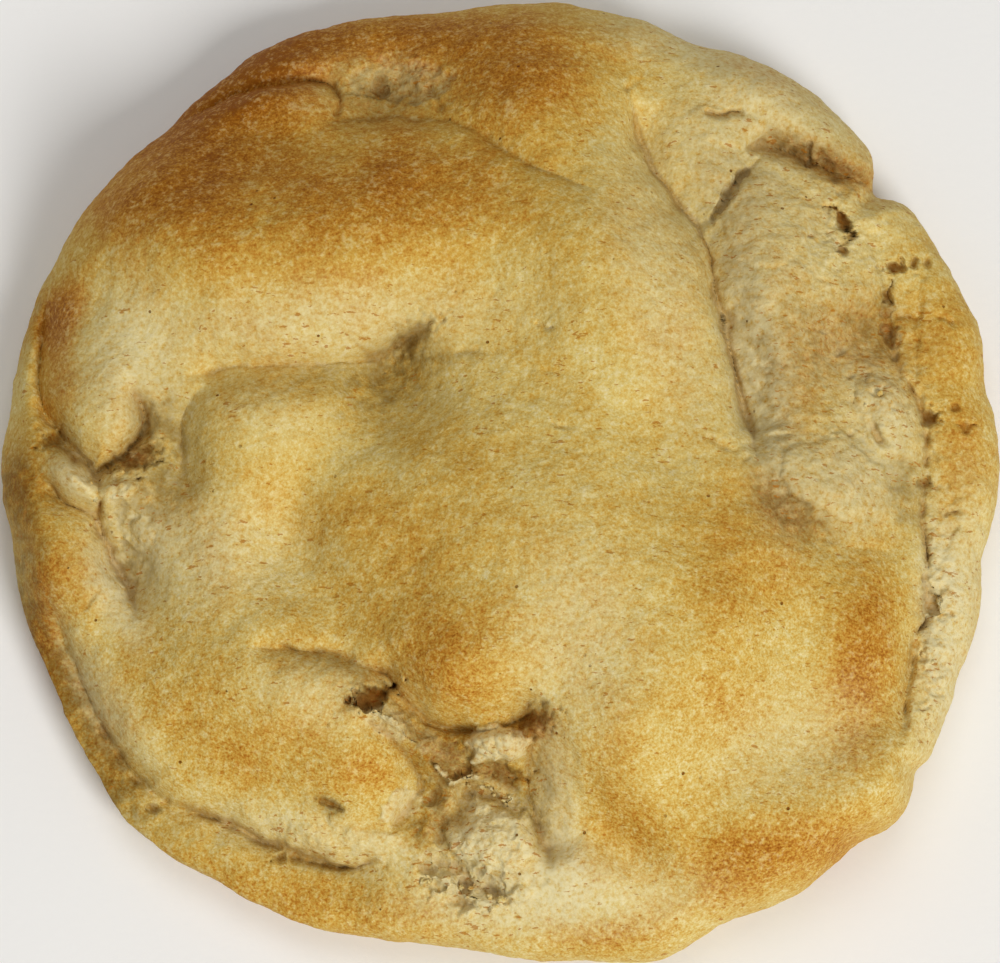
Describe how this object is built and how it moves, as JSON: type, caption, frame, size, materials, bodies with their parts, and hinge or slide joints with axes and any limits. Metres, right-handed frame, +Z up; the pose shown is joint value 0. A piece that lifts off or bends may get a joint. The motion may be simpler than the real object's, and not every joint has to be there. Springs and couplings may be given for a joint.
{
  "type": "cookie",
  "caption": "Thick round soft-baked cookie with a lumpy, folded and cracked golden top, a low torn rim and a flat base.",
  "frame": {"origin": "on the table, under the middle of the cookie's bounding box", "axes": "+Z up through the cookie's thickness, +Y to the back as the picture shows it, +X to its right"},
  "size_m": [0.0899, 0.0897, 0.022],
  "materials": {
    "crust": "matt, dry and finely grained"
  },
  "bodies": {
    "root": {"cookie": "crust"}
  },
  "joints": []
}
